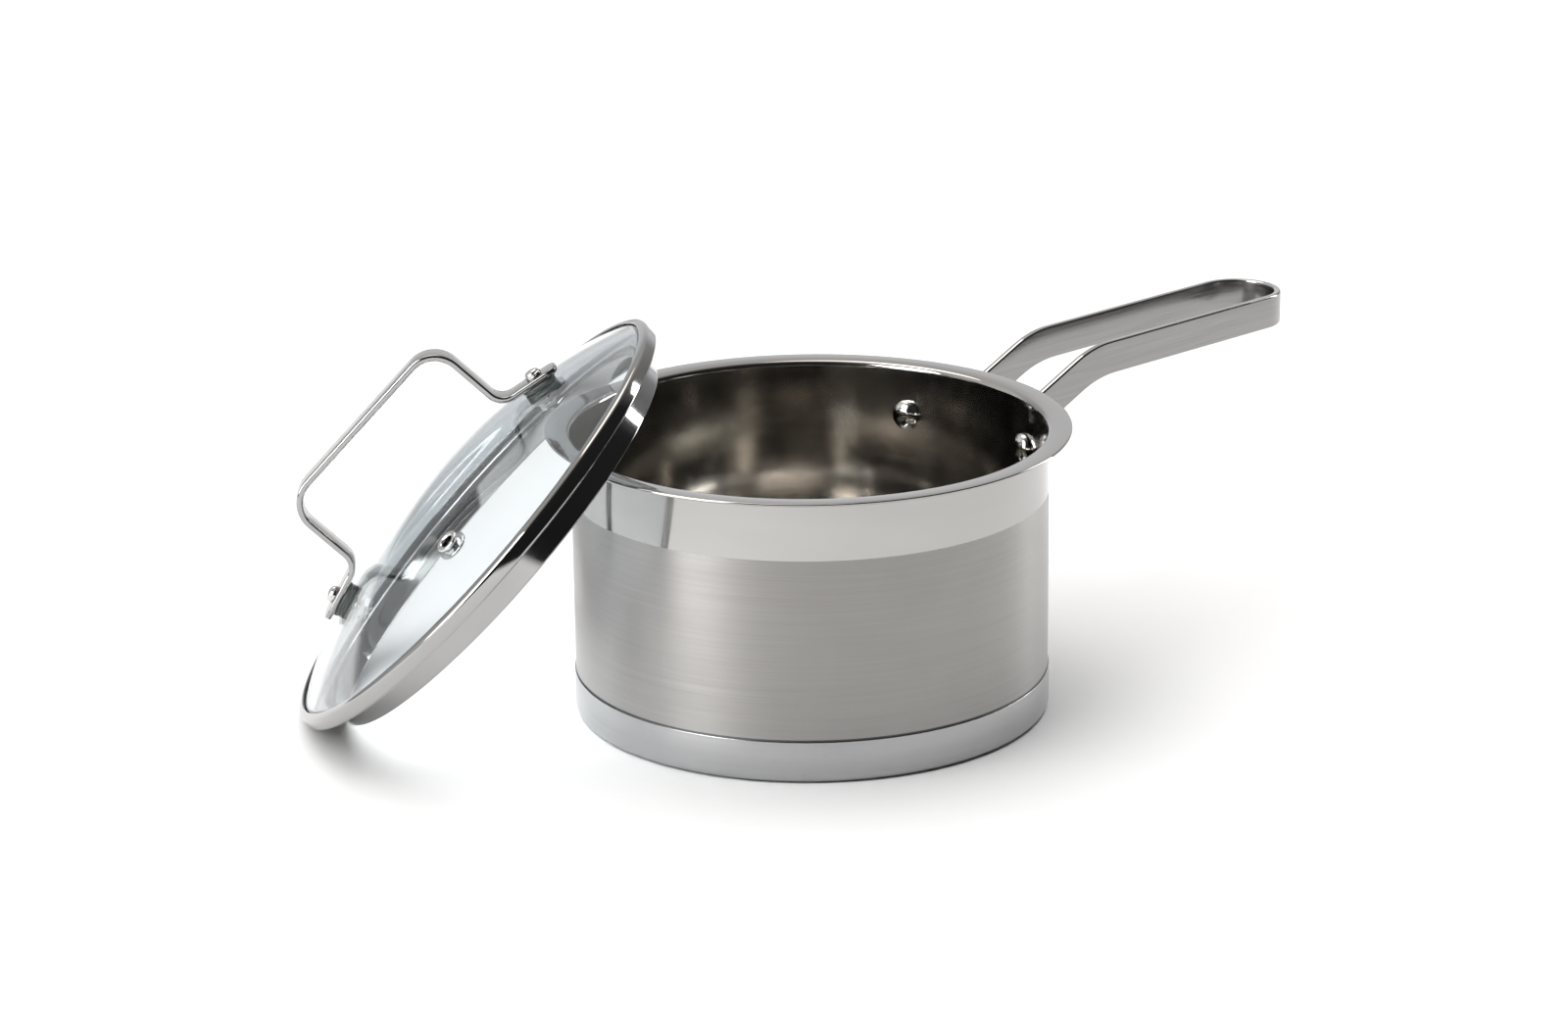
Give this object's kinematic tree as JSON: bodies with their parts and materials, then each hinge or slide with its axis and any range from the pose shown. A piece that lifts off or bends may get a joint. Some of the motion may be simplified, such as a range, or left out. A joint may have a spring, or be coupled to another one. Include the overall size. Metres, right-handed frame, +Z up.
{
  "type": "saucepan with glass lid",
  "caption": "Straight-sided steel saucepan with a capsule base, flared rim and riveted hairpin strip handle; its domed glass lid with a steel ring and strip handle leans on the rim.",
  "frame": {"origin": "centre of the base's flat underside, on the pan's axis, level with the surface it stands on", "axes": "+Z up along the pan's axis; +X along the pan handle, away from the pan"},
  "size_m": [0.3932, 0.2412, 0.1318],
  "materials": {
    "satin_steel_body": "satin, brushed round the wall",
    "satin_steel_strip": "satin faces with polished edges",
    "polished_steel": "polished",
    "aluminium_core": "plain",
    "lid_glass": "clear, polished",
    "silicone": "matt"
  },
  "bodies": {
    "pan": {"pan_shell": "satin_steel_body", "base_core": "aluminium_core", "base_cap": "satin_steel_body", "pan_handle": "satin_steel_strip", "handle_rivet_left": "polished_steel", "handle_rivet_right": "polished_steel"},
    "lid": {"lid_glass": "lid_glass", "lid_ring": "polished_steel", "lid_handle": "satin_steel_strip", "vent_eyelet": "polished_steel", "vent_washer": "polished_steel", "lid_screw_right": "polished_steel", "lid_pad_right": "silicone", "lid_gasket_right": "silicone", "lid_washer_right": "polished_steel", "lid_nut_right": "polished_steel", "lid_screw_left": "polished_steel", "lid_pad_left": "silicone", "lid_gasket_left": "silicone", "lid_washer_left": "polished_steel", "lid_nut_left": "polished_steel"}
  },
  "joints": [
    {"name": "lid_lift", "type": "slide", "parent": "pan", "child": "lid", "axis": [0, 0, 1], "range_m": [0, 0.15]}
  ]
}
